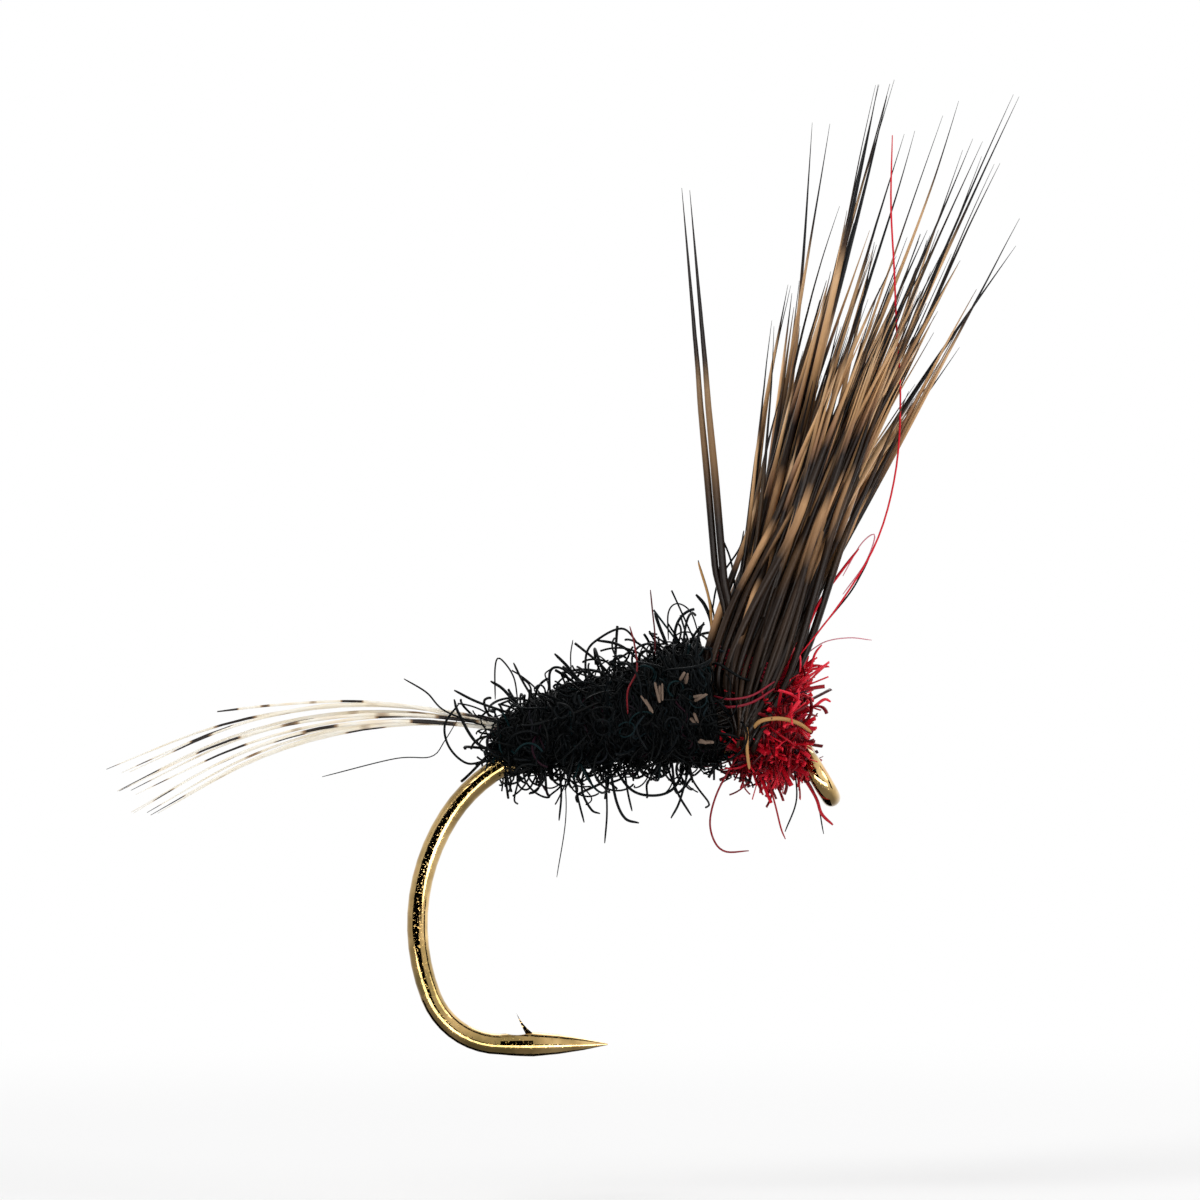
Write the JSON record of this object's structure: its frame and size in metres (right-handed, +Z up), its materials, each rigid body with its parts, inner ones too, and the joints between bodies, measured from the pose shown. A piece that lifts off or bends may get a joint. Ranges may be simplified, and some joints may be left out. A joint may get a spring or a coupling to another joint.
{
  "type": "dry fly",
  "caption": "Dry fishing fly with an upright hair wing, dubbed body, red thorax and a barred fibre tail, tied on a barbed single hook with a down-turned eye.",
  "frame": {"origin": "centre of the hook's eye", "axes": "+X forward past the eye, along the shank; +Z up, towards the wing; +Y across the fly, towards its far side"},
  "size_m": [0.0199, 0.0068, 0.0214],
  "materials": {
    "hook_wire": "drawn carbon steel wire, bronzed and clear-lacquered",
    "tying_thread": "waxed black tying thread",
    "red_thread": "red tying thread",
    "head_cement": "clear head cement over red thread",
    "tail_hackle": "cream hackle fibres barred in dark brown",
    "wing_hair": "banded animal hair, dark at the base, tan in bands, black at the tips",
    "body_dubbing": "coarse black dubbing",
    "thorax_dubbing": "coarse red dubbing"
  },
  "bodies": {
    "root": {"body_dubbing": "body_dubbing", "head_cement": "head_cement", "head_whip_finish": "red_thread", "hook": "hook_wire", "shank_thread_base": "tying_thread", "tail_binding": "tying_thread", "tail_fibre_01": "tail_hackle", "tail_fibre_02": "tail_hackle", "tail_fibre_03": "tail_hackle", "tail_fibre_04": "tail_hackle", "tail_fibre_05": "tail_hackle", "tail_fibre_06": "tail_hackle", "tail_fibre_07": "tail_hackle", "tail_fibre_08": "tail_hackle", "tail_fibre_09": "tail_hackle", "tail_fibre_10": "tail_hackle", "tail_fibre_11": "tail_hackle", "tail_fibre_12": "tail_hackle", "thorax_dubbing": "thorax_dubbing", "wing_lock_centre_middle": "wing_hair", "wing_lock_centre_rear": "wing_hair", "wing_lock_far_front": "wing_hair", "wing_lock_far_middle": "wing_hair", "wing_lock_far_rear": "wing_hair", "wing_lock_near_front": "wing_hair", "wing_lock_near_middle": "wing_hair", "wing_lock_near_rear": "wing_hair", "wing_post_wraps": "red_thread", "wing_stray_hairs": "wing_hair", "wing_tie_wraps": "tying_thread"}
  },
  "joints": []
}
